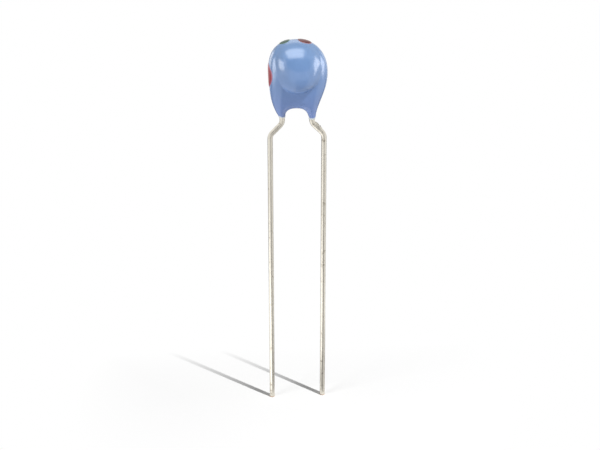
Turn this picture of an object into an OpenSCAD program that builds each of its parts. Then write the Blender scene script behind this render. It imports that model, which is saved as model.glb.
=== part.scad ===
// Radial inductor: a wound ferrite drum on two tinned leads, dipped in epoxy.
// The leads point down -Z. The origin is midway between them, on the plane
// where their kinks end, which is the plane that seats on a circuit board.
// The drum's axis runs along Y, so that its round face looks towards -Y.

/* [Leads] */
// Distance between the two straight leads
pitch = 5.0; // [4.6:0.1:7.5]
// Diameter of the lead wire
lead_d = 0.5; // [0.4:0.05:0.6]
// Length of the straight lead below the seating plane
lead_len = 27.0; // [5:0.5:40]
// Centre-line radius of both bends in the kink
bend_r = 0.8; // [0.4:0.05:0.8]
// Slope of the kink away from straight down
kink_angle = 45; // [35:1:60]

/* [Drum core] */
// Diameter of the two flanges
flange_d = 3.4; // [3.2:0.1:4.4]
// Thickness of one flange
flange_t = 0.45; // [0.3:0.05:0.6]
// Length of the winding window between the flanges
window_l = 2.1; // [1.7:0.1:3]
// Diameter of the barrel that carries the winding
barrel_d = 1.2; // [0.8:0.1:1.4]
// Chamfer on the flange edges
flange_chamfer = 0.1; // [0.05:0.01:0.14]

/* [Winding] */
// Diameter of the enamelled wire
wire_d = 0.11; // [0.08:0.01:0.14]
// Number of layers of wire on the barrel
layers = 4; // [2:1:4]
// Sideways gap between the winding and each lead
lead_gap = 0.07; // [0.04:0.01:0.2]
// Distance of each wire tail from the middle of the barrel where it leaves it
tail_y = 0.5; // [0.3:0.05:0.6]

/* [Joints inside the coating] */
// Height of a solder bead
solder_h = 0.9; // [0.6:0.05:1.1]
// Thickness of solder at the middle of a bead
solder_t = 0.17; // [0.15:0.01:0.22]
// Thickness of solder at the two ends of a bead
solder_end = 0.02; // [0.01:0.01:0.04]
// Distance of a bead's middle above the crown of the arch
solder_rise = 0.85; // [0.75:0.05:0.95]
// Thickness of adhesive around the head of a lead
glue_t = 0.07; // [0.05:0.01:0.1]
// Length of lead that stands past the adhesive
head_l = 0.15; // [0.05:0.05:0.3]
// Gap between two pieces that are bonded together
bond_gap = 0.01; // [0.005:0.001:0.02]

/* [Coating] */
// Thickness of the coating over the drum's rim, on the dome and the sides
coat_rim = 1.0; // [0.9:0.02:1.3]
// How much higher than a half round the dome is
dome_rise = 0.14; // [0:0.02:0.3]
// Thickness of the coating over each round face of the drum
coat_face = 0.7; // [0.6:0.02:1]
// Thickness of the coating round a flange, under the drum
coat_low = 0.45; // [0.42:0.01:0.7]
// How much thicker it is round a flange at the top, where it gathered
coat_sag = 0.5; // [0:0.05:0.5]
// Thickness of the coating where it ends on a lead
coat_end = 0.04; // [0.04:0.01:0.12]
// Length of coated lead above the kink
collar_h = 0.09; // [0.05:0.01:0.6]
// Height of the arch between the two coated legs
arch_h = 1.0; // [0.7:0.1:1.6]
// Height of the web, from the crown of the arch to the drum
web_h = 1.9; // [1.7:0.1:2.6]
// How much lower the coating ends on the right lead than on the left one
end_skew = 0.24; // [0:0.02:0.3]
// Sideways slump of the coating as it cured
slump = 0.1; // [0:0.01:0.12]

/* [Colour dots] */
// Thickness of the paint
dot_t = 0.05; // [0.03:0.01:0.08]
// Diameter of the green dot
green_d = 1.1; // [0.8:0.05:1.4]
// Angle of the green dot round the rim, from +X
green_at = 113; // [108:1:125]
// Distance of the green dot behind the middle of the rim
green_y = 0.15; // [0:0.05:0.3]
// Diameter of the brown dot
brown_d = 1.4; // [0.8:0.05:1.5]
// Angle of the brown dot round the rim, from +X
brown_at = 74; // [60:1:80]
// Distance of the brown dot behind the middle of the rim
brown_y = 0.15; // [0:0.05:0.3]
// Diameter of the red dot
red_d = 2.15; // [1.2:0.05:2.3]
// Angle of the red dot round the rim, from +X
red_at = 189; // [170:1:198]
// Distance of the red dot behind the middle of the rim
red_y = 0.2; // [0:0.05:0.3]

/* [Hidden] */
$fn = 48;

// Steps of the coating's mesh from leg to leg, and round one section of it
leg_steps = 42;
ring_steps = 66;
// Form factors of the coating: how square the bulge over a flange is, how softly it
// meets the web and the rim, how square the arch and the dome are
bulge_p = 2.6;
blend_p = 4;
arch_p = 2.5;
dome_p = 2.25;
// How the side swells: how round it is at the drum, and how slowly it starts at the leg
swell_p = 2.2;
swell_start = 1.3;
// How many turns of a wave the slump takes, and how they crowd towards the legs
slump_turns = 1.2;
slump_crowd = 0.8;
// Share of a half ring's steps between the arch and the crease, and the limits of the
// crease's place on a section
crease_share = 0.3;
crease_from = 0.2;
crease_to = 0.8;
// How much the rings crowd towards the legs, and how much along the arch's corners
side_crowd = 1.25;
arch_crowd = 2;
// Steps along a solder bead, and the angles of the points on one turn of the coil
solder_steps = 8;
turn_angles = [-75:30:75];
// Angle below level at which a tail leaves the coil
tail_at = 45;

lead_r = lead_d / 2;
flange_r = flange_d / 2;
barrel_r = barrel_d / 2;
drum_half = window_l / 2 + flange_t;
wound_r = barrel_r + bond_gap + layers * wire_d;
// The leads stand either side of the winding, between the flanges
lead_x = wound_r + lead_gap + lead_r;

// Heights, from the seating plane up
kink_x = pitch / 2 - lead_x;
bend_x = bend_r * (1 - cos(kink_angle));
slope_l = (kink_x - 2 * bend_x) / sin(kink_angle);
kink_h = 2 * bend_r * sin(kink_angle) + slope_l * cos(kink_angle);
end_z = kink_h + collar_h;
crown_z = end_z + arch_h;
drum_z = crown_z + web_h + flange_r;
solder_z = crown_z + solder_rise;
glue_r = lead_r + bond_gap + glue_t;
head_z = drum_z + glue_r + head_l;

// Coating: radii about the drum's axis, and half its depth over the drum
body_r = flange_r + coat_rim;
crease_r = flange_r + coat_low;
body_y = drum_half + coat_face;
end_r = lead_r + coat_end;
dome_h = body_r + dome_rise;
top_z = drum_z + dome_h;
slump_z = end_z + lead_r;

// ---- coating ----------------------------------------------------------------
// The skin is a height field: for each point (x, z) of the front view it gives the half
// depth y. Every function takes g, a growth of the skin, which the colour dots use.

// Sideways shift of the cured coating at height z, a wave that starts just above its end
function slump_at(z) =
    let (t = max(0, z - slump_z) / (top_z - slump_z))
    -slump * sin(360 * slump_turns * pow(t, slump_crowd));

// Shift up of the end on the left lead, and down on the right one, fading up to the crown
function skew_at(x, z) = -sign(x) * end_skew / 2 * pow(max(0, 1 - (z - end_z) / arch_h), 2);

// Half width of the coating below the drum's axis: the end collar swells into the body
function side_at(z, g) =
    let (t = min(1, max(0, (z - end_z) / (drum_z - end_z))))
    lead_x + end_r + g + (body_r - lead_x - end_r) * pow(1 - pow(1 - t, swell_p), swell_start);

// Half depth of the web: each leg is as deep as it is wide on its outer side
function web_at(z, g) = side_at(z, g) - lead_x;

// Rounded edge: rises from 0 at the edge to 1 at a distance r from it
function nose(d, r) = d >= r ? 1 : sqrt(1 - pow(1 - max(0, d) / r, 2));

// Distance from the dome's edge, which is a squared ellipse about the drum's axis
function dome_gap(x, z, g) =
    let (a = body_r + g, b = dome_h + g,
         q = pow(pow(abs(x) / a, dome_p) + pow((z - drum_z) / b, dome_p), 1 / dome_p))
    norm([x, z - drum_z]) * (1 / q - 1);

// Distance from the outer edge, out from the drum's axis or level below it
function outer_gap(x, z, g) = z > drum_z ? dome_gap(x, z, g) : side_at(z, g) - abs(x);

// Distance from the edge of the arch, which is a squared ellipse about (0, end_z)
function arch_gap(x, z, g) =
    let (a = lead_x - end_r - g, b = arch_h - g,
         q = pow(pow(abs(x) / a, arch_p) + pow(max(0, z - end_z) / b, arch_p), 1 / arch_p))
    norm([x, z - end_z]) * (1 - 1 / max(1, q));

// Half depth of the bulge over a flange. It ends in a crease on the web and the rim
function bulge_at(x, z, g) =
    let (r = norm([x, z - drum_z]),
         up = r > 0 ? (1 + (z - drum_z) / r) / 2 : 0,
         edge = crease_r + coat_sag * up * up + g)
    r >= edge ? 0 : (body_y + g) * pow(1 - pow(r / edge, bulge_p), 1 / bulge_p);

// Half depth of the whole skin: web and bulge, blended
function skin_at(x, z, g) =
    let (t = web_at(z, g),
         web = t * nose(outer_gap(x, z, g), t) * nose(arch_gap(x, z, g), t))
    pow(pow(web, blend_p) + pow(bulge_at(x, z, g), blend_p), 1 / blend_p);

// Edge of the arch from the left leg (m = 0) over the crown (m = 1), half of it
function arch_edge(m, g) =
    let (a = 90 * (1 - pow(1 - m, arch_crowd)))
    [-(lead_x - end_r - g) * pow(cos(a), 2 / arch_p),
     end_z + (arch_h - g) * pow(sin(a), 2 / arch_p)];

// Outer edge from the left leg (m = 0) up the side and the dome to the top (m = 1)
function outer_edge(m, g) =
    let (side_l = drum_z - end_z, way = pow(m, side_crowd) * (side_l + body_r * PI / 2),
         a = min(90, max(0, (way - side_l) / body_r * 180 / PI)),
         z = end_z + way)
    way < side_l ? [-side_at(z, g), z]
                 : [-(body_r + g) * pow(cos(a), 2 / dome_p),
                    drum_z + (dome_h + g) * pow(sin(a), 2 / dome_p)];

// Where the section from p to q first meets the crease, or comes nearest to it
function crease_way(p, q) =
    let (d = q - p, c = p - [0, drum_z], a = d * d, b = c * d,
         root = b * b - a * (c * c - crease_r * crease_r))
    min(crease_to, max(crease_from, (-b - sqrt(max(0, root))) / a));

// Runs from 0 to 1 as t does, slowly at both ends
function ease(t) = (1 - cos(180 * t)) / 2;

// One point of the skin: u runs from leg to leg, v once round the section
function skin_point(u, v, g) =
    let (s = u > 0.5 ? -1 : 1, m = 1 - abs(1 - 2 * u),
         p = arch_edge(m, g), q = outer_edge(m, g),
         k = crease_way(p, q), t = 1 - abs(1 - 2 * v), c = crease_share,
         w = t < c ? k * ease(t / c) : k + (1 - k) * ease((t - c) / (1 - c)),
         x = s * (p[0] + (q[0] - p[0]) * w), z = p[1] + (q[1] - p[1]) * w,
         y = (v == 0 || v == 0.5) ? 0 : skin_at(x, z, g))
    [x + slump_at(z), (v < 0.5 ? -1 : 1) * y, z + skew_at(x, z)];

// The closed skin: a loft of rings from the left leg over the arch to the right leg
module skin(g = 0) {
    points = [for (i = [0:leg_steps], j = [0:ring_steps - 1])
        skin_point(i / leg_steps, j / ring_steps, g)];
    sides = [for (i = [0:leg_steps - 1], j = [0:ring_steps - 1])
        let (a = i * ring_steps + j, b = i * ring_steps + (j + 1) % ring_steps)
        each [[a, b, b + ring_steps], [a, b + ring_steps, a + ring_steps]]];
    last = leg_steps * ring_steps;
    start_cap = [for (j = [1:ring_steps - 2]) [0, j + 1, j]];
    end_cap = [for (j = [1:ring_steps - 2]) [last, last + j, last + j + 1]];
    polyhedron(points, concat(sides, start_cap, end_cap), convexity = 6);
}

module coating() {
    color("#6f8fc9")
        difference() {
            skin();
            along_drum() drum_space(bond_gap);
            for (side = [-1, 1]) {
                lead_form(side, bond_gap);
                solder_form(side, bond_gap);
                glue_form(side, bond_gap);
                tail_form(side, bond_gap);
            }
        }
}

// ---- core and winding -------------------------------------------------------
// Turns a revolved piece so that its axis is the drum's axis
module along_drum() {
    translate([0, 0, drum_z])
        rotate([90, 0, 0])
            children();
}

// Half section of the drum, as points: the barrel at radius r, and both flanges
function drum_points(r, g = 0) =
    let (c = flange_chamfer, in = window_l / 2 - g, out = drum_half + g, rim = flange_r + g,
         half = [[r, in], [rim - c, in], [rim, in + c], [rim, out - c], [rim - c, out], [0, out]])
    concat(half, [for (i = [len(half) - 1:-1:0]) [half[i][0], -half[i][1]]]);

// The room that the drum with its winding takes in the coating
module drum_space(g) {
    rotate_extrude()
        polygon(drum_points(wound_r + g, g));
}

module drum_core() {
    color("#4a4744")
        along_drum()
            rotate_extrude()
                polygon(drum_points(barrel_r));
}

// Half section of the wound coil: each outer turn shows as a rounded ridge
module coil_section() {
    turns = floor((window_l - 2 * bond_gap) / wire_d);
    inner = barrel_r + bond_gap;
    outer = wound_r - wire_d / 2;
    ridge = [for (i = [0:turns - 1], a = turn_angles)
        [outer + wire_d / 2 * cos(a), (i - (turns - 1) / 2) * wire_d + wire_d / 2 * sin(a)]];
    polygon(concat([[inner, -turns * wire_d / 2]], ridge, [[inner, turns * wire_d / 2]]));
}

// Straight round bar from a to b
module bar(a, b, r) {
    d = b - a;
    translate(a)
        rotate([0, acos(d[2] / norm(d)), atan2(d[1], d[0])])
            cylinder(h = norm(d), r = r);
}

// A tail leaves the coil low on one side and crosses to the lead on the other side, where
// it ends inside the solder, one wire's width off the middle
module tail_form(side, g = 0) {
    leave = wound_r - wire_d / 2 - bond_gap;
    from = [-side * leave * cos(tail_at), side * tail_y, drum_z - leave * sin(tail_at)];
    to = [side * (lead_x - lead_r - bond_gap - wire_d / 2), side * wire_d, solder_z];
    bar(from, to, wire_d / 2 + g);
}

module winding() {
    color("#b8672f") {
        along_drum()
            rotate_extrude()
                coil_section();
        for (side = [-1, 1])
            tail_form(side);
    }
}

// ---- leads ------------------------------------------------------------------
// A bend of the wire that starts here going up and turns towards -X
module bend(r) {
    translate([-bend_r, 0, 0])
        rotate([90, 0, 0])
            rotate_extrude(angle = kink_angle)
                translate([bend_r, 0])
                    circle(r = r);
}

// Moves on to the end of such a bend
module after_bend() {
    translate([-bend_r, 0, 0])
        rotate([0, -kink_angle, 0])
            translate([bend_r, 0, 0])
                children();
}

// One lead from the seating plane: the straight length down, then the kink up and in to
// the head, which stands beside the winding
module lead_form(side, g = 0) {
    r = lead_r + g;
    mirror([side < 0 ? 1 : 0, 0, 0])
        translate([pitch / 2, 0, 0]) {
            translate([0, 0, -lead_len])
                cylinder(h = lead_len, r = r);
            bend(r);
            after_bend() {
                cylinder(h = slope_l, r = r);
                translate([0, 0, slope_l])
                    mirror([1, 0, 0]) {
                        bend(r);
                        after_bend()
                            cylinder(h = head_z + g - kink_h, r = r);
                    }
            }
        }
}

module lead_left() {
    color("#c9c4b8") lead_form(-1);
}

module lead_right() {
    color("#c9c4b8") lead_form(1);
}

// ---- solder and adhesive ----------------------------------------------------
// Spindle of solder round a lead, where the wire tail is wrapped and soldered
module solder_form(side, g = 0) {
    end = lead_r + solder_end + g;
    swell = [for (i = [0:solder_steps])
        [end + solder_t * sin(180 * i / solder_steps), solder_h * (i / solder_steps - 0.5)]];
    translate([side * lead_x, 0, solder_z])
        rotate_extrude()
            polygon(concat(
                [[0, -solder_h / 2 - g], [end, -solder_h / 2 - g]], swell,
                [[end, solder_h / 2 + g], [0, solder_h / 2 + g]]));
}

module solder_bead(side) {
    color("#aeb2b6")
        difference() {
            solder_form(side);
            lead_form(side, bond_gap);
            tail_form(side, bond_gap);
        }
}

module solder_left() {
    solder_bead(-1);
}

module solder_right() {
    solder_bead(1);
}

// Bridge of adhesive that holds a lead's head between the two flanges
module glue_form(side, g = 0) {
    half = window_l / 2 - bond_gap + g;
    translate([side * lead_x, half, drum_z])
        rotate([90, 0, 0])
            cylinder(h = 2 * half, r = glue_r + g);
}

module glue_bridge(side) {
    color("#d8c27a")
        difference() {
            glue_form(side);
            lead_form(side, bond_gap);
            along_drum()
                cylinder(h = window_l, r = wound_r + bond_gap, center = true);
        }
}

module adhesive_left() {
    glue_bridge(-1);
}

module adhesive_right() {
    glue_bridge(1);
}

// ---- colour dots ------------------------------------------------------------
// Round patch of paint on the skin, at an angle about the drum's axis. The cutter that
// gives it its outline starts inside the drum
module dot(angle, y, d) {
    difference() {
        intersection() {
            skin(dot_t);
            translate([0, y, drum_z])
                rotate([0, 90 - angle, 0])
                    translate([0, 0, flange_r])
                        cylinder(h = body_r, d = d);
        }
        skin();
    }
}

module dot_green() {
    color("#4f7a55") dot(green_at, green_y, green_d);
}

module dot_brown() {
    color("#8a4a3e") dot(brown_at, brown_y, brown_d);
}

module dot_red() {
    color("#b5474a") dot(red_at, red_y, red_d);
}

coating();
drum_core();
winding();
lead_left();
lead_right();
solder_left();
solder_right();
adhesive_left();
adhesive_right();
dot_green();
dot_brown();
dot_red();
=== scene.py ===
"""Dresses a radial inductor: a drop of blue epoxy on two kinked, tinned leads, with three
dots of paint on its rim. Lengths in the functions are millimetres, as in the part's own
source, and every mesh is written in metres."""
import math

import bpy
import numpy as np
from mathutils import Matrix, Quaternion, Vector


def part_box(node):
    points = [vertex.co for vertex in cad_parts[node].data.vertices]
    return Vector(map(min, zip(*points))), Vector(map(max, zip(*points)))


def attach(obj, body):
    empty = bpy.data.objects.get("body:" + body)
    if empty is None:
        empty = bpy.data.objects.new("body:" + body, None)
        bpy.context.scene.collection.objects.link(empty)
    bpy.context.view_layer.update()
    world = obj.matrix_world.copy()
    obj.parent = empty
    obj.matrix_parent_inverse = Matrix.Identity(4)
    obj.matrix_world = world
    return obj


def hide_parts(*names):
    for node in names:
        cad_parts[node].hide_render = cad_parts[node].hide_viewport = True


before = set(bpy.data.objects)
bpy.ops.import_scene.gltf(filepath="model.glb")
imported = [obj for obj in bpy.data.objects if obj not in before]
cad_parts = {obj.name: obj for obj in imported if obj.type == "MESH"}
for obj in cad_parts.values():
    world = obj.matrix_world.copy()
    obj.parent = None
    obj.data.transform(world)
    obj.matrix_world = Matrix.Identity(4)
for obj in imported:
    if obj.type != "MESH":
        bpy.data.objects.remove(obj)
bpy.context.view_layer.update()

MM = 0.001

# ---- sizes of the part, in millimetres ----------------------------------------------
# The leads: wire, bends and the slope of a kink
lead_d = 0.5
bend_r = 0.8
kink_angle = math.radians(45)
# The wound drum inside, and the room for each lead beside it
flange_d = 3.4
flange_t = 0.45
window_l = 2.1
barrel_d = 1.2
wire_d = 0.11
layers = 4
lead_gap = 0.07
bond_gap = 0.01
glue_t = 0.07
head_l = 0.15
# The coating: how thick it is round the drum, over its face and where the crease lies
coat_rim = 1.0
dome_rise = 0.14
coat_face = 0.7
coat_low = 0.45
# The coating's end on the leads, its arch and its web
coat_end = 0.04
collar_h = 0.09
arch_h = 1.0
web_h = 1.9
end_skew = 0.24
# Sideways wave of the cured drop: its size, its turns and how they crowd low down
slump = 0.1
slump_turns = 1.2
slump_crowd = 0.8
# Powers of the coating's squared curves
bulge_p = 2.6
blend_p = 4
arch_p = 2.5
dome_p = 2.25
swell_p = 2.2
swell_start = 1.3

# The straight leads are read from the frame: their pitch and how far down they reach
lead_low, lead_high = (np.array(corner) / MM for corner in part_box("lead_right"))
lead_r = lead_d / 2
pitch = 2 * (lead_high[0] - lead_r)
tip_z = lead_low[2]

drum_half = window_l / 2 + flange_t
wound_r = barrel_d / 2 + bond_gap + layers * wire_d
lead_x = wound_r + lead_gap + lead_r
kink_x = pitch / 2 - lead_x
slope_l = (kink_x - 2 * bend_r * (1 - math.cos(kink_angle))) / math.sin(kink_angle)
kink_h = 2 * bend_r * math.sin(kink_angle) + slope_l * math.cos(kink_angle)
end_z = kink_h + collar_h
crown_z = end_z + arch_h
drum_z = crown_z + web_h + flange_d / 2
body_r = flange_d / 2 + coat_rim
crease_r = flange_d / 2 + coat_low
body_y = drum_half + coat_face
end_r = lead_r + coat_end
dome_h = body_r + dome_rise
top_z = drum_z + dome_h
slump_z = end_z + lead_r
head_z = drum_z + lead_r + bond_gap + glue_t + head_l


# ---- meshes -------------------------------------------------------------------------
def lantern(rings, low_pole, high_pole):
    """Points, quads and triangles of rings of points, closed by a pole at each end. The
    rings run anticlockwise about the way from the low pole to the high pole."""
    rows, columns = rings.shape[:2]
    row, j = np.meshgrid(np.arange(rows - 1), np.arange(columns), indexing="ij")
    here = row * columns + j
    beside = row * columns + (j + 1) % columns
    quads = np.stack([here, beside, beside + columns, here + columns], -1).reshape(-1, 4)
    j = np.arange(columns)
    after = (j + 1) % columns
    low = np.full(columns, rows * columns)
    last = (rows - 1) * columns
    triangles = np.concatenate(
        [np.stack([low, after, j], -1), np.stack([low + 1, last + j, last + after], -1)]
    )
    points = np.concatenate([rings.reshape(-1, 3), [low_pole, high_pole]])
    return points, quads, triangles


def make_piece(name, rings, low_pole, high_pole, values, mirrored=False):
    """A closed, smooth mesh from rings of points in millimetres. values holds, for each
    named attribute that the materials read, one number per point of the rings and one for
    each pole. A mirrored piece has its faces turned round, so that they look outward."""
    points, quads, triangles = lantern(rings, low_pole, high_pole)
    if mirrored:
        quads, triangles = quads[:, ::-1], triangles[:, ::-1]
    corners = np.concatenate([quads.ravel(), triangles.ravel()]).astype(np.int32)
    sizes = np.concatenate([np.full(len(quads), 4), np.full(len(triangles), 3)])
    starts = np.concatenate([[0], np.cumsum(sizes)[:-1]]).astype(np.int32)
    mesh = bpy.data.meshes.new(name)
    mesh.vertices.add(len(points))
    mesh.vertices.foreach_set("co", (points * MM).astype(np.float32).ravel())
    mesh.loops.add(len(corners))
    mesh.loops.foreach_set("vertex_index", corners)
    mesh.polygons.add(len(sizes))
    mesh.polygons.foreach_set("loop_start", starts)
    mesh.polygons.foreach_set("use_smooth", np.ones(len(sizes), bool))
    for key, (numbers, low, high) in values.items():
        attribute = mesh.attributes.new(key, "FLOAT", "POINT")
        numbers = np.concatenate([numbers.ravel(), [low, high]])
        attribute.data.foreach_set("value", numbers.astype(np.float32))
    mesh.update(calc_edges=True)
    mesh.validate()
    piece = bpy.data.objects.new(name, mesh)
    bpy.context.scene.collection.objects.link(piece)
    return piece


wave_count = 12
wave_spread = (0.7, 1.5)
wave_share = 5


def waves(points, length, seed):
    """Smooth unevenness between about -1 and 1: the sum of a dozen sine waves that run in
    random directions, each near the given wave length in millimetres."""
    chance = np.random.default_rng(seed)
    total = np.zeros(points.shape[:-1])
    for _ in range(wave_count):
        way = chance.normal(size=3)
        way *= 2 * math.pi / (length * chance.uniform(*wave_spread) * np.linalg.norm(way))
        total += np.sin(points @ way + chance.uniform(0, 2 * math.pi))
    return total / wave_share


# ---- the coating's skin -------------------------------------------------------------
def slump_at(z):
    """Sideways shift of the cured coating: a sine wave of the height, which starts just
    above the coating's end and crowds low down."""
    t = np.maximum(0, z - slump_z) / (top_z - slump_z)
    return -slump * np.sin(2 * math.pi * slump_turns * t**slump_crowd)


def skew_at(x, z):
    """Shift up of the end on the left lead and down on the right one: a square that
    fades from the end to the arch's crown."""
    return -np.sign(x) * end_skew / 2 * np.maximum(0, 1 - (z - end_z) / arch_h) ** 2


def side_at(z):
    """Half width below the drum's axis: the end collar plus a swell, which is
    (1 - (1 - t)^p)^q of the way t up to the axis."""
    t = np.clip((z - end_z) / (drum_z - end_z), 0, 1)
    swell = (1 - (1 - t) ** swell_p) ** swell_start
    return lead_x + end_r + (body_r - lead_x - end_r) * swell


def nose(d, r):
    """Rounded edge: a quarter circle from 0 at the edge to 1 at the distance r."""
    return np.sqrt(np.maximum(0, 1 - (1 - np.clip(d / r, 0, 1)) ** 2))


def squared(x, z, a, b, p):
    """Size of the squared ellipse through (x, z), as a share of the one with half axes
    a and b: the sum of the powers (x/a)^p and (z/b)^p, to the power 1/p."""
    return ((np.abs(x) / a) ** p + (np.maximum(0, z) / b) ** p) ** (1 / p)


def outer_gap(x, z):
    """Distance from the outer edge: in from the squared ellipse of the dome above the
    drum's axis, and level to the side below it."""
    share = np.maximum(1e-9, squared(x, z - drum_z, body_r, dome_h, dome_p))
    above = np.hypot(x, z - drum_z) * (1 / share - 1)
    return np.where(z > drum_z, above, side_at(z) - np.abs(x))


def arch_gap(x, z):
    """Distance from the arch, which is a squared ellipse about the point (0, end_z)."""
    share = squared(x, z - end_z, lead_x - end_r, arch_h, arch_p)
    return np.hypot(x, z - end_z) * (1 - 1 / np.maximum(1, share))


# The crease: how far inside crease_r it lies, how it moves out with the height, the power
# that joins it to the outline, and how soft it is beside the drum
crease_in = 0.18
crease_rise = 1.39
crease_rise_p = 3.4
crease_join = 10
crease_soft = 0.14
# How much the dome's power drops from its foot to its crown
crown_round = 0.55


def bulge_at(x, z):
    """Half depth of the bulge over a flange: the squared dome (1 - share^p)^(1/p + s),
    where share is 1 at the crease and s softens the crease beside the drum. Towards the
    top the crease runs out into the outline and p drops, so the dome is rounder there."""
    r = np.hypot(x, z - drum_z)
    up = (1 + (z - drum_z) / np.maximum(r, 1e-9)) / 2
    edge = crease_r - crease_in + crease_rise * up**crease_rise_p
    dome = squared(x, z - drum_z, body_r, dome_h, dome_p)
    outline = np.where(z > drum_z, dome, np.abs(x) / side_at(z))
    share = ((r / edge) ** crease_join + outline**crease_join) ** (1 / crease_join)
    p = bulge_p - crown_round * up**2
    soft = crease_soft * np.sin(math.pi * up) ** 2
    return body_y * np.maximum(0, 1 - share**p) ** (1 / p + soft)


def skin_at(x, z):
    """Half depth of the whole skin: web and bulge, blended by the sum of their powers."""
    t = side_at(z) - lead_x
    web = t * nose(outer_gap(x, z), t) * nose(arch_gap(x, z), t)
    return (web**blend_p + bulge_at(x, z) ** blend_p) ** (1 / blend_p)


# The skin's grid: sections from leg to leg, steps round each, the share of the steps that
# lies inside the crease and the range of the crease's place, and how the sections crowd
leg_steps = 260
ring_steps = 300
crease_share = 0.3
crease_from = 0.2
crease_to = 0.8
side_crowd = 1.25
arch_crowd = 2


def skin_grid():
    """Points of the skin, one ring per section from the left leg over the arch to the
    right leg. A section runs straight from the arch's edge to the outer edge and back,
    and its steps crowd at both edges and where it meets the crease."""
    u, v = np.meshgrid(
        np.linspace(0, 1, leg_steps + 1),
        np.arange(ring_steps) / ring_steps,
        indexing="ij",
    )
    m = 1 - np.abs(1 - 2 * u)
    turn = math.pi / 2 * (1 - (1 - m) ** arch_crowd)
    inner = [
        -(lead_x - end_r) * np.maximum(0, np.cos(turn)) ** (2 / arch_p),
        end_z + arch_h * np.sin(turn) ** (2 / arch_p),
    ]
    side_l = drum_z - end_z
    way = m**side_crowd * (side_l + body_r * math.pi / 2)
    over = np.clip((way - side_l) / body_r, 0, math.pi / 2)
    across = body_r * np.maximum(0, np.cos(over)) ** (2 / dome_p)
    outer = [
        np.where(way < side_l, -side_at(end_z + way), -across),
        np.where(way < side_l, end_z + way, drum_z + dome_h * np.sin(over) ** (2 / dome_p)),
    ]
    run = [outer[0] - inner[0], outer[1] - inner[1]]
    a = run[0] ** 2 + run[1] ** 2
    b = inner[0] * run[0] + (inner[1] - drum_z) * run[1]
    c = inner[0] ** 2 + (inner[1] - drum_z) ** 2 - (crease_r - crease_in) ** 2
    meet = np.clip((-b - np.sqrt(np.maximum(0, b * b - a * c))) / a, crease_from, crease_to)
    t = 1 - np.abs(1 - 2 * v)
    near = (1 - np.cos(math.pi * t / crease_share)) / 2
    far = (1 - np.cos(math.pi * (t - crease_share) / (1 - crease_share))) / 2
    w = np.where(t < crease_share, meet * near, meet + (1 - meet) * far)
    x = np.where(u > 0.5, -1, 1) * (inner[0] + run[0] * w)
    z = inner[1] + run[1] * w
    y = np.where((v == 0) | (v == 0.5), 0, skin_at(x, z)) * np.where(v < 0.5, -1, 1)
    return np.stack([x, y, z], -1)


# Unevenness of the skin: its height, wave length, and how deep it lies under the surface
orange_peel = 0.004
peel_length = 1.6
peel_sink = 1.4
# The ragged end on a lead: its height, wave length, and the stretch that wavers with it
ragged_end = 0.05
ragged_length = 0.35
foot_h = 4 * ragged_end
# The pale ring above it: its height, how that wavers, and where it starts to fade
pale_end = 0.2
pale_waver = 0.45
pale_length = 0.4
pale_start = 1.4
# Seeds of the three
peel_seed, ragged_seed, pale_seed = 1, 5, 9


def coating_skin():
    """The dipped epoxy: the skin with a faint orange peel and ragged ends on the leads.
    The attribute rim is 1 at a leg's end, where the epoxy is thin and pale."""
    points = skin_grid()
    x, z = points[..., 0].copy(), points[..., 2].copy()
    height = z - end_z
    on_leg = np.abs(np.abs(x) - lead_x) < end_r + coat_end
    foot = np.where(on_leg, np.clip(1 - height / foot_h, 0, 1), 0)
    thin = pale_end * (1 + pale_waver * waves(points, pale_length, pale_seed))
    rim = np.where(on_leg, np.clip(pale_start - height / thin, 0, 1), 0)
    away = points - np.array([0, 0, drum_z])
    away /= np.linalg.norm(away, axis=-1, keepdims=True)
    uneven = waves(points, peel_length, peel_seed) - peel_sink
    peel = np.clip(height, 0, 1) * orange_peel * uneven
    ragged = foot * ragged_end * (1 + waves(points, ragged_length, ragged_seed))
    points += away * peel[..., None]
    points[..., 0] += slump_at(z)
    points[..., 2] += skew_at(x, z) + ragged
    piece = make_piece(
        "coating_skin",
        points,
        points[0].mean(axis=0),
        points[-1].mean(axis=0),
        {"rim": (rim, 1, 1)},
        mirrored=True,
    )
    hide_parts("coating")
    return piece


# ---- colour dots --------------------------------------------------------------------
dot_rings = 40
dot_spokes = 120
# Thickness, depth of the underside in the skin, and the powers of its dome and its edge
dot_t = 0.045
dot_sink = 0.03
dot_dome_p = 5
dot_edge_p = 12
# Its outline: share of the named radius, how it wavers, and how long the wavers are
dot_share = 0.985
dot_waver = 0.02
dot_waver_l = 1.5
# The search for the skin: how far outside the body it starts, and how often it halves
search_out = 0.5
search_steps = 40


def skin_radius(across, along, angle):
    """Distance from the drum's axis, straight out at an angle, to the skin's surface at
    the given offsets across and along the drum: found by halving a range of distances."""
    low = np.full(across.shape, flange_d / 2)
    high = np.full(across.shape, body_r + search_out)
    for _ in range(search_steps):
        r = (low + high) / 2
        x = r * math.cos(angle) - across * math.sin(angle)
        z = drum_z + r * math.sin(angle) + across * math.cos(angle)
        x0 = x - slump_at(z)
        inside = (outer_gap(x0, z) > 0) & (skin_at(x0, z) > np.abs(along))
        low = np.where(inside, r, low)
        high = np.where(inside, high, r)
    return (low + high) / 2


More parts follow.
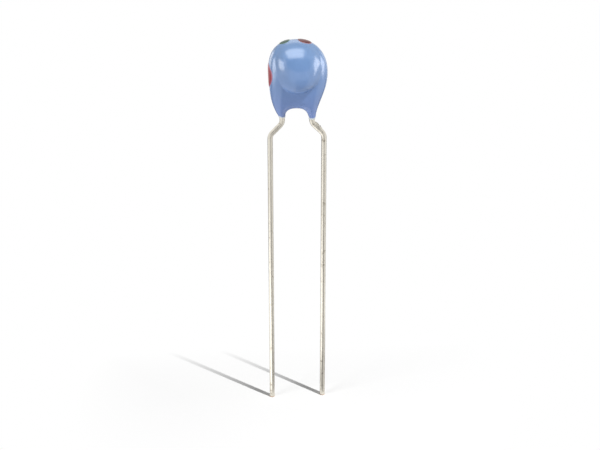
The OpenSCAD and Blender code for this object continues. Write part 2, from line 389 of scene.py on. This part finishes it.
def paint_dot(name, angle_deg, y, diameter, seed):
    """A dot of paint on the rim: a polar grid over the skin. Its height is a squared dome,
    (1 - r^p)^(1/2) of its thickness, less a power of r that tucks the edge into the skin.
    Its outline wavers a little, and its underside lies just inside the skin. The
    attribute edge is r, 0 in the middle and 1 at the edge."""
    angle = math.radians(angle_deg)
    share, spoke = np.meshgrid(
        np.sin(np.linspace(0, math.pi / 2, dot_rings + 1)),
        np.arange(dot_spokes) * 2 * math.pi / dot_spokes,
        indexing="ij",
    )
    around = np.stack([np.cos(spoke), np.sin(spoke), 0 * spoke], -1)
    reach = diameter / 2 * (dot_share + dot_waver * waves(around, dot_waver_l, seed))
    across = share * reach * np.cos(spoke)
    along = y + share * reach * np.sin(spoke)
    r = skin_radius(across, along, angle)
    top = r + dot_t * np.sqrt(1 - share**dot_dome_p) - dot_sink * share**dot_edge_p
    sides = []
    for distance in (top, r - dot_sink):
        x = distance * math.cos(angle) - across * math.sin(angle)
        z = drum_z + distance * math.sin(angle) + across * math.cos(angle)
        sides.append(np.stack([x, along, z], -1))
    upper, under = sides
    rings = np.concatenate([upper[1:], under[-2:0:-1]])
    edge = np.concatenate([share[1:], share[-2:0:-1]])
    return make_piece(name, rings, upper[0, 0], under[0, 0], {"edge": (edge, 0, 0)})


# ---- leads --------------------------------------------------------------------------
wire_sides = 64
wire_step = 0.04
# The drawn wire: how far its skin lies inside the named radius, how much that wavers, and
# the wave lengths of it
wire_inset = 0.004
wire_waver = 0.0015
waver_short, waver_long = 0.5, 2
# Shallow dents, where two waves together pass a level
dent_depth = 0.012
dent_short, dent_long = 0.7, 1.9
dent_level = 0.55
# The crust of flux: its place as a share of the slope, its length and height, the side it
# lies on and its width there in radians, how even it is, and its lumps and grit
crust_at = 0.72
crust_l = 0.9
crust_h = 0.12
crust_side = 0.25
crust_w = 0.8
crust_base = 0.55
lump_long, lump_short = 0.2, 0.09
lump_h, grit_h = 0.6, 0.5
# The cut tip: the stretch that slants with it, its slant, how high it stays above the
# floor, the bare stretch of copper, and how rough the cut face is
cut_l = 0.3
cut_slant = 0.09
cut_lift = 0.004
bare_l = 0.06
cut_rough = 0.01
cut_grain = 0.15
# Rings that close a flat end, as shares of its radius
end_rings = np.array([0.5, 0.85])[:, None, None]


def lead_path():
    """Points up the middle of the right lead: across, height, heading and length so far.
    It runs straight up, an arc inward, the slope, an arc back to upright, and straight up
    to the head."""
    x, z, heading, at = pitch / 2, tip_z, 0.0, 0.0
    pieces = [np.array([[x, z, heading, at]])]
    runs = [
        (-tip_z, 0),
        (bend_r * kink_angle, 1),
        (slope_l, 0),
        (bend_r * kink_angle, -1),
        (head_z - kink_h, 0),
    ]
    for length, bend in runs:
        s = np.linspace(0, length, math.ceil(length / wire_step) + 1)[1:]
        turn = heading + bend * s / bend_r
        if bend:
            px = x + bend * bend_r * (np.cos(turn) - math.cos(heading))
            pz = z + bend * bend_r * (np.sin(turn) - math.sin(heading))
        else:
            px = x - s * math.sin(heading)
            pz = z + s * math.cos(heading)
        pieces.append(np.stack([px, pz, turn, at + s], -1))
        x, z, heading, at = px[-1], pz[-1], turn[-1], at + length
    return np.concatenate(pieces)


def wire(side, crusted, seed):
    """A lead: a circle carried along its path. Its radius wavers by a few micrometres,
    with shallow dents. A crust of flux stands out on one side of the slope: e^-s^4 along
    the wire and e^-a^2 round it, times lumps. The tip is cut on a slant. The attributes
    crust and bare say where the crust and the cut are."""
    path = lead_path()
    angle = np.arange(wire_sides) * 2 * math.pi / wire_sides
    s, a = np.meshgrid(path[:, 3], angle, indexing="ij")
    place = np.stack([lead_r * np.cos(a), lead_r * np.sin(a), s], -1)
    uneven = waves(place, waver_short, seed) + waves(place, waver_long, seed + 1)
    radius = lead_r - wire_inset + wire_waver * uneven
    dents = waves(place, dent_short, seed + 2) * waves(place, dent_long, seed + 3)
    radius -= dent_depth * np.clip(dents - dent_level, 0, 1)
    crust_s = -tip_z + bend_r * kink_angle + slope_l * crust_at
    along = np.exp(-(((s - crust_s) / (crust_l / 2)) ** 4))
    aside = np.angle(np.exp(1j * (a - crust_side)))
    outside = np.exp(-((aside / crust_w) ** 2))
    lumps = lump_h * waves(place, lump_long, seed + 4)
    grit = grit_h * waves(place, lump_short, seed + 5)
    crust = crusted * np.maximum(0, along * outside * (crust_base + lumps + grit))
    radius += crust_h * np.minimum(1, crust)
    heading = path[:, 2][:, None]
    x = path[:, 0][:, None] + radius * np.cos(a) * np.cos(heading)
    z = path[:, 1][:, None] + radius * np.cos(a) * np.sin(heading)
    points = np.stack([side * x, radius * np.sin(a), z], -1)

    lift = cut_slant * (1 - side * np.cos(angle)) / 2 + cut_lift
    points[..., 2] += lift * np.clip(1 - s / cut_l, 0, 1)
    bare = np.clip(1 - s / bare_l, 0, 1)
    tip = np.array([side * pitch / 2, 0, tip_z + cut_slant / 2 + cut_lift])
    head = np.array([side * path[-1, 0], 0, head_z])
    tip_rings = tip + end_rings * (points[0] - tip)
    tip_rings[..., 2] += cut_rough * (1 + waves(tip_rings, cut_grain, seed + 6))
    head_rings = head + end_rings[::-1] * (points[-1] - head)
    rings = np.concatenate([tip_rings, points, head_rings])
    flat = np.zeros((2, wire_sides))
    return rings, tip, head, {
        "crust": (np.concatenate([flat, crust, flat]), 0, 0),
        "bare": (np.concatenate([flat + 1, bare, flat]), 1, 0),
    }


def tinned_lead(name, side, crusted, seed):
    """One lead as a piece: side is -1 or 1, and crusted is 1 where it carries the crust."""
    piece = make_piece(f"wire_{name}", *wire(side, crusted, seed), mirrored=side < 0)
    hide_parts(f"lead_{name}")
    return piece


# ---- materials ----------------------------------------------------------------------
def adder(tree):
    """A function that adds a node to the tree and sets what it is told."""

    def add(kind, **settings):
        node = tree.nodes.new(kind)
        for key, value in settings.items():
            setattr(node, key, value)
        return node

    return add


def new_material(name):
    """A node material: itself, its tree, its principled shader and its adder of nodes."""
    material = bpy.data.materials.new(name)
    material.use_nodes = True
    tree = material.node_tree
    return material, tree, tree.nodes["Principled BSDF"], adder(tree)


def noise(tree, add, scale, detail=3.0, stretch=None):
    """Noise on Object coordinates. scale is in waves per metre, stretch one per axis."""
    where = add("ShaderNodeTexCoord")
    mapping = add("ShaderNodeMapping")
    if stretch:
        mapping.inputs["Scale"].default_value = stretch
    texture = add("ShaderNodeTexNoise")
    texture.inputs["Scale"].default_value = scale
    texture.inputs["Detail"].default_value = detail
    tree.links.new(where.outputs["Object"], mapping.inputs["Vector"])
    tree.links.new(mapping.outputs["Vector"], texture.inputs["Vector"])
    return texture.outputs["Fac"]


def ramp(tree, add, source, stops):
    """Colour ramp over stops of (place, colour)."""
    node = add("ShaderNodeValToRGB")
    ends = node.color_ramp.elements
    while len(ends) < len(stops):
        ends.new(0.5)
    for end, (place, colour) in zip(ends, stops):
        end.position = place
        end.color = (*colour, 1)
    tree.links.new(source, node.inputs["Fac"])
    return node.outputs["Color"]


def mix(tree, add, share, a, b):
    """Mix of two colours, each a socket or a plain colour, by a share."""
    node = add("ShaderNodeMix", data_type="RGBA")
    sockets = [s for s in node.inputs if s.type == "RGBA"]
    for value, socket in ((a, sockets[0]), (b, sockets[1])):
        if isinstance(value, tuple):
            socket.default_value = (*value, 1)
        else:
            tree.links.new(value, socket)
    if isinstance(share, float):
        node.inputs["Factor"].default_value = share
    else:
        tree.links.new(share, node.inputs["Factor"])
    return next(s for s in node.outputs if s.type == "RGBA")


def bump(tree, add, shader, height, strength, distance):
    """Fine relief from a height between 0 and 1. distance is its depth in metres."""
    node = add("ShaderNodeBump")
    node.inputs["Strength"].default_value = strength
    node.inputs["Distance"].default_value = distance
    tree.links.new(height, node.inputs["Height"])
    tree.links.new(node.outputs["Normal"], shader.inputs["Normal"])


def roughen(tree, add, shader, source, smooth, rough):
    """Roughness that runs from smooth to rough with a source between 0 and 1."""
    node = add("ShaderNodeMapRange")
    node.inputs["To Min"].default_value = smooth
    node.inputs["To Max"].default_value = rough
    tree.links.new(source, node.inputs["Value"])
    tree.links.new(node.outputs["Result"], shader.inputs["Roughness"])


# Blues of the epoxy from the arch to the crown, painted lighter low down and darker at the
# crown as painted light and shade, and of its faint patches
blue_low_painted_light = (0.175, 0.245, 0.56)
blue_middle = (0.155, 0.265, 0.52)
blue_high_painted_shade = (0.135, 0.25, 0.45)
blue_deep = (0.125, 0.228, 0.46)
blue_light = (0.15, 0.26, 0.51)
blue_thin = (0.62, 0.68, 0.72)
patch_share = 0.35
# Waves per metre of its patches, of its gloss and of its fine relief
patch_scale, gloss_scale, relief_scale = 900, 1500, 2500
epoxy_rough = (0.17, 0.25)
epoxy_ior = 1.58
epoxy_gloss = 0.7


def epoxy():
    """Glossy dipped epoxy: blue, a little more violet low down, pale where it is thin. The
    blue is painted lighter low down and darker at the crown, as painted light and shade.
    """
    material, tree, shader, add = new_material("blue_epoxy")
    where = add("ShaderNodeTexCoord")
    split = add("ShaderNodeSeparateXYZ")
    tree.links.new(where.outputs["Object"], split.inputs["Vector"])
    height = add("ShaderNodeMapRange")
    height.inputs["From Min"].default_value = end_z * MM
    height.inputs["From Max"].default_value = top_z * MM
    tree.links.new(split.outputs["Z"], height.inputs["Value"])
    # Painted light and shade: the blue is lighter low down and darker at the crown
    stops = [(0.0, blue_low_painted_light), (0.45, blue_middle), (0.9, blue_high_painted_shade)]
    tone = ramp(tree, add, height.outputs["Result"], stops)
    cloud = noise(tree, add, patch_scale, 2.0)
    patches = ramp(tree, add, cloud, [(0.35, blue_deep), (0.65, blue_light)])
    blue = mix(tree, add, patch_share, tone, patches)
    rim = add("ShaderNodeAttribute", attribute_name="rim")
    colour = mix(tree, add, rim.outputs["Fac"], blue, blue_thin)
    tree.links.new(colour, shader.inputs["Base Color"])
    shader.inputs["IOR"].default_value = epoxy_ior
    shader.inputs["Specular IOR Level"].default_value = epoxy_gloss
    roughen(tree, add, shader, noise(tree, add, gloss_scale, 3.0), *epoxy_rough)
    bump(tree, add, shader, noise(tree, add, relief_scale, 4.0), 0.05, 0.03 * MM)
    return material


# Tones of the tinned wire, and the waves per metre of its drawing marks and its spots
tin_dark, tin_light = (0.66, 0.62, 0.54), (0.80, 0.76, 0.67)
tin_dull = (0.42, 0.38, 0.31)
flux_brown = (0.22, 0.2, 0.15)
cut_copper = (0.62, 0.36, 0.2)
drawn_scale, drawn_stretch = 4000, (1, 1, 0.08)
spot_scale = 2600
tin_rough = (0.2, 0.42)
black, white = (0, 0, 0), (1, 1, 1)


def tin():
    """Tinned wire: warm grey metal, drawn along its length, with dull spots. The crust is
    dark flux, and the bare cut shows copper."""
    material, tree, shader, add = new_material("tinned_wire")
    drawn = noise(tree, add, drawn_scale, 4.0, drawn_stretch)
    spots = noise(tree, add, spot_scale, 5.0)
    tone = ramp(tree, add, drawn, [(0.3, tin_dark), (0.7, tin_light)])
    dull = ramp(tree, add, spots, [(0.62, black), (0.72, white)])
    metal = mix(tree, add, dull, tone, tin_dull)
    crust = add("ShaderNodeAttribute", attribute_name="crust")
    flux = mix(tree, add, crust.outputs["Fac"], metal, flux_brown)
    bare = add("ShaderNodeAttribute", attribute_name="bare")
    colour = mix(tree, add, bare.outputs["Fac"], flux, cut_copper)
    tree.links.new(colour, shader.inputs["Base Color"])
    shader.inputs["Metallic"].default_value = 1.0
    roughen(tree, add, shader, spots, *tin_rough)
    bump(tree, add, shader, drawn, 0.25, 0.02 * MM)
    return material


# Waves per metre of the paint's two tones and of its relief, and its gloss
blotch_scale, ripple_scale = 1500, 3000
paint_rough = 0.32
paint_gloss = 0.3


def paint(name, body, low, fringe):
    """A dot of glossy paint in two close tones, thinner and paler at its edge."""
    material, tree, shader, add = new_material(name)
    blotches = noise(tree, add, blotch_scale, 3.0)
    patches = ramp(tree, add, blotches, [(0.35, low), (0.65, body)])
    edge = add("ShaderNodeAttribute", attribute_name="edge")
    thin = ramp(tree, add, edge.outputs["Fac"], [(0.86, black), (1.0, white)])
    colour = mix(tree, add, thin, patches, fringe)
    tree.links.new(colour, shader.inputs["Base Color"])
    shader.inputs["Roughness"].default_value = paint_rough
    shader.inputs["Specular IOR Level"].default_value = paint_gloss
    bump(tree, add, shader, noise(tree, add, ripple_scale, 3.0), 0.08, 0.02 * MM)
    return material


def inner(name, light, dark, roughness, metallic, scale):
    """Finish of a piece inside the coating: two tones in a noise of so many waves per
    metre, with a fine bump."""
    material, tree, shader, add = new_material(name)
    grain = noise(tree, add, scale, 5.0)
    colour = ramp(tree, add, grain, [(0.3, dark), (0.7, light)])
    tree.links.new(colour, shader.inputs["Base Color"])
    shader.inputs["Roughness"].default_value = roughness
    shader.inputs["Metallic"].default_value = metallic
    bump(tree, add, shader, grain, 0.3, 0.02 * MM)
    return material


def dress(node, material):
    """Gives a carried-over node its finish."""
    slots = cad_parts[node].data.materials
    slots.clear()
    slots.append(material)


# ---- pieces -------------------------------------------------------------------------
skin = coating_skin()
skin.data.materials.append(epoxy())
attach(skin, "root")

# Each dot: its colour's name, its angle about the drum's axis in degrees, its place along
# that axis, its diameter, and the colours of its thick and thin paint and of its edge
dots = [
    ("green", 113, 0.1, 1.1, (0.045, 0.1, 0.06), (0.03, 0.065, 0.05), (0.2, 0.3, 0.3)),
    ("brown", 75.5, 0.05, 1.4, (0.16, 0.05, 0.035), (0.09, 0.02, 0.03), (0.4, 0.25, 0.3)),
    ("red", 189, 0.3, 2.35, (0.34, 0.036, 0.042), (0.24, 0.022, 0.03), (0.45, 0.2, 0.32)),
]
painted = []
for seed, (hue, at, y, size, body, low, fringe) in enumerate(dots):
    dot = paint_dot(f"paint_{hue}", at, y, size, 20 + seed)
    dot.data.materials.append(paint(f"{hue}_paint", body, low, fringe))
    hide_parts(f"dot_{hue}")
    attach(dot, "root")
    painted.append(dot)

tinned = tin()
leads = []
for name, side, crusted, seed in (("left", -1, 0.0, 40), ("right", 1, 1.0, 60)):
    lead = tinned_lead(name, side, crusted, seed)
    lead.data.materials.append(tinned)
    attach(lead, "root")
    leads.append(lead)

ferrite = inner("ferrite", (0.05, 0.046, 0.043), (0.025, 0.023, 0.022), 0.75, 0.0, 3000)
copper = inner("enamelled_copper", (0.62, 0.2, 0.07), (0.4, 0.1, 0.03), 0.3, 0.85, 2500)
dress("drum_core", ferrite)
dress("winding", copper)
bead = inner("solder", (0.72, 0.73, 0.76), (0.5, 0.5, 0.53), 0.3, 1.0, 1800)
resin = inner("adhesive", (0.55, 0.4, 0.14), (0.38, 0.26, 0.08), 0.35, 0.0, 1200)
for name in ("left", "right"):
    dress(f"solder_{name}", bead)
    dress(f"adhesive_{name}", resin)

# ---- studio -------------------------------------------------------------------------
scene = bpy.context.scene
scene.view_settings.view_transform = "Standard"

body_middle = Vector((0, -1.5, 7.5))
# The camera: its direction and distance from the point it looks at, and its lens
camera_azimuth = -4.63
camera_elevation = 22
camera_far = 131.5
camera_to = Vector((0.27, -0.02, -8.69))
focal_px = 1386
frame_w_px = 600
sensor_w = 36.0


def aim(thing, place, target):
    """Puts a lamp or camera at a place in millimetres and turns it to a target."""
    thing.location = Vector(place) * MM
    thing.rotation_mode = "QUATERNION"
    thing.rotation_quaternion = (Vector(target) - Vector(place)).to_track_quat("-Z", "Y")
    scene.collection.objects.link(thing)


def toward(azimuth_deg, elevation_deg, distance):
    """Point in millimetres that far from the body; azimuth 0 is in front, 90 at +X."""
    a, e = math.radians(azimuth_deg), math.radians(elevation_deg)
    out = Vector((math.sin(a) * math.cos(e), -math.cos(a) * math.cos(e), math.sin(e)))
    return body_middle + out * distance


lens = bpy.data.cameras.new("camera")
lens.sensor_width = sensor_w
lens.lens = focal_px * sensor_w / frame_w_px
lens.clip_start = 0.005
lens.clip_end = 10
camera = bpy.data.objects.new("camera", lens)
camera_at = camera_to + toward(camera_azimuth, camera_elevation, camera_far) - body_middle
aim(camera, camera_at, camera_to)
scene.camera = camera

looking_rays = ("Is Camera Ray", "Is Glossy Ray", "Is Transmission Ray")


def seen(tree, add):
    """1 for rays that look: camera, glossy and transmission; 0 for those that light."""
    path = add("ShaderNodeLightPath")
    looks = [path.outputs[ray] for ray in looking_rays]
    total = looks[0]
    for socket in looks[1:]:
        node = add("ShaderNodeMath", operation="MAXIMUM")
        tree.links.new(total, node.inputs[0])
        tree.links.new(socket, node.inputs[1])
        total = node.outputs[0]
    return total


world_light = 0.12
world = bpy.data.worlds.new("studio")
scene.world = world
world.use_nodes = True
tree = world.node_tree
add = adder(tree)
strength = add("ShaderNodeMapRange")
strength.inputs["To Min"].default_value = world_light
tree.links.new(seen(tree, add), strength.inputs["Value"])
tree.links.new(strength.outputs["Result"], tree.nodes["Background"].inputs["Strength"])
tree.nodes["Background"].inputs["Color"].default_value = (1, 1, 1, 1)


def card(name, corners, material):
    """A flat card with four corners in millimetres, which isn't part of the object."""
    mesh = bpy.data.meshes.new(name)
    mesh.from_pydata([Vector(c) * MM for c in corners], [], [(0, 1, 2, 3)])
    mesh.materials.append(material)
    thing = bpy.data.objects.new(name, mesh)
    scene.collection.objects.link(thing)
    return thing


floor_half = 2000
floor_albedo = 0.97
floor_glow = 0.06
# Where the shadow starts and ends to fade towards the back, and the paper round the leads
shadow_from = 1.4
shadow_to = 10.3
paper_from = 12
paper_to = 22


def floor_material():
    """White paper: it shows the shadows near the leads, and fades to plain white."""
    material = bpy.data.materials.new("paper")
    material.use_nodes = True
    tree = material.node_tree
    add = adder(tree)
    tree.nodes.remove(tree.nodes["Principled BSDF"])
    look = seen(tree, add)
    paper = add("ShaderNodeBsdfDiffuse")
    paper.inputs["Color"].default_value = (floor_albedo, floor_albedo, floor_albedo, 1)
    glow = add("ShaderNodeEmission")
    level = add("ShaderNodeMath", operation="MULTIPLY")
    level.inputs[1].default_value = floor_glow
    tree.links.new(look, level.inputs[0])
    tree.links.new(level.outputs[0], glow.inputs["Strength"])
    both = add("ShaderNodeAddShader")
    tree.links.new(paper.outputs[0], both.inputs[0])
    tree.links.new(glow.outputs[0], both.inputs[1])
    where = add("ShaderNodeTexCoord")
    split = add("ShaderNodeSeparateXYZ")
    tree.links.new(where.outputs["Object"], split.inputs["Vector"])
    flat = add("ShaderNodeVectorMath", operation="MULTIPLY")
    flat.inputs[1].default_value = (1, 1, 0)
    tree.links.new(where.outputs["Object"], flat.inputs[0])
    far = add("ShaderNodeVectorMath", operation="LENGTH")
    tree.links.new(flat.outputs[0], far.inputs[0])
    fade = add("ShaderNodeMath", operation="MAXIMUM")
    limits = [
        (split.outputs["Y"], shadow_from, shadow_to),
        (far.outputs["Value"], paper_from, paper_to),
    ]
    for socket, (source, low, high) in zip(fade.inputs, limits):
        part = add("ShaderNodeMapRange")
        part.inputs["From Min"].default_value = low * MM
        part.inputs["From Max"].default_value = high * MM
        tree.links.new(source, part.inputs["Value"])
        tree.links.new(part.outputs["Result"], socket)
    share = add("ShaderNodeMath", operation="MULTIPLY")
    tree.links.new(fade.outputs[0], share.inputs[0])
    tree.links.new(look, share.inputs[1])
    white = add("ShaderNodeEmission")
    whole = add("ShaderNodeMixShader")
    tree.links.new(share.outputs[0], whole.inputs["Fac"])
    tree.links.new(both.outputs[0], whole.inputs[1])
    tree.links.new(white.outputs[0], whole.inputs[2])
    tree.links.new(whole.outputs[0], tree.nodes["Material Output"].inputs["Surface"])
    return material


ways = ((-1, -1), (1, -1), (1, 1), (-1, 1))
card("floor", [(x * floor_half, y * floor_half, tip_z) for x, y in ways], floor_material())


def flag(name, corners, level):
    """A dim card that only reflections see: it gives glossy things a darker side."""
    material = bpy.data.materials.new(name)
    material.use_nodes = True
    tree = material.node_tree
    tree.nodes.remove(tree.nodes["Principled BSDF"])
    glow = adder(tree)("ShaderNodeEmission")
    glow.inputs["Strength"].default_value = level
    tree.links.new(glow.outputs[0], tree.nodes["Material Output"].inputs["Surface"])
    thing = card(name, corners, material)
    thing.visible_camera = False
    thing.visible_diffuse = False
    thing.visible_shadow = False
    thing.visible_volume_scatter = False
    material.cycles.emission_sampling = "NONE"


def upright(y, left, right, bottom, top):
    """Corners of a card that stands across the view at y."""
    return [(left, y, bottom), (right, y, bottom), (right, y, top), (left, y, top)]


# Height of the lying cards, and of the lamp that lies on them
low_z = tip_z + 0.02
lamp_z = low_z + 0.1


def lying(*corners):
    """Corners of a card that lies just above the floor."""
    return [(x, y, low_z) for x, y in corners]


# Darker sides for the epoxy and the metal to mirror: the room in front, and low cards
# round the leads
flag("room_front", upright(-220, -220, 220, -8, 200), 0.35)
flag("card_front", lying((-2.2, -1), (3.5, -1), (58, -72), (-14, -88)), 0.4)
flag("card_back", upright(20, -60, 40, tip_z, -5), 0.3)
flag("card_behind", lying((-2, 1), (14, 1), (20, 14), (-6, 14)), 0.35)


def group(name, things):
    """A collection of things that certain lamps alone light."""
    chosen = bpy.data.collections.new(name)
    for thing in things:
        chosen.objects.link(thing)
    return chosen


# The bare metal has its own, weaker panels, so that the softboxes don't burn it out
dipped = group("dipped", [skin, *painted])
bare = group("bare", leads)


def panel(name, lit, centre, width, height, radiance, facing, roll_deg=0):
    """A softbox that only the reflections of a group see. Its power is pi times its
    radiance times its area. It faces the way given, and is rolled about it."""
    light = bpy.data.lights.new(name, "AREA")
    light.shape = "RECTANGLE"
    light.size = width * MM
    light.size_y = height * MM
    light.energy = radiance * math.pi * width * height * MM**2
    softbox = bpy.data.objects.new(name, light)
    aim(softbox, centre, Vector(centre) + Vector(facing))
    softbox.rotation_quaternion @= Quaternion((0, 0, 1), math.radians(roll_deg))
    softbox.visible_camera = False
    softbox.visible_diffuse = False
    softbox.light_linking.receiver_collection = lit


# The ways that a panel can face
rightward, leftward, frontward = (1, 0, 0), (-1, 0, 0), (0, -1, 0)
upward, downward = (0, 0, 1), (0, 0, -1)

panel("softbox_top", dipped, (-32, -102, 158), 175, 195, 3.4, downward)
panel("softbox_left", dipped, (-80, -20, 1), 54, 42, 3.9, rightward)
panel("softbox_left_rim", dipped, (-80, 76, 12), 76, 54, 2.4, rightward)
panel("softbox_right", dipped, (80, -6, 11), 60, 46, 4.0, leftward, 30)
panel("softbox_right_rim", dipped, (80, 73, 12), 46, 50, 0.7, leftward)
panel("softbox_back", dipped, (0, 150, 135), 120, 110, 1.1, frontward)
panel("sheen_top", bare, (-60, 0, 150), 240, 300, 0.2, downward)
panel("sheen_left", bare, (-38, -12, lamp_z), 70, 22, 0.85, upward)


def lamp(name, azimuth_deg, elevation_deg, distance, width, level):
    """A square lamp that no reflection sees. A white card that faces it from the body's
    middle renders at its level."""
    light = bpy.data.lights.new(name, "AREA")
    light.size = width * MM
    light.energy = level * (math.pi * distance * MM) ** 2
    thing = bpy.data.objects.new(name, light)
    aim(thing, toward(azimuth_deg, elevation_deg, distance), body_middle)
    thing.visible_camera = False
    thing.visible_glossy = False


lamp("key", azimuth_deg=44.5, elevation_deg=55, distance=300, width=4, level=1.03)
lamp("fill", azimuth_deg=-55, elevation_deg=8, distance=250, width=120, level=0.45)
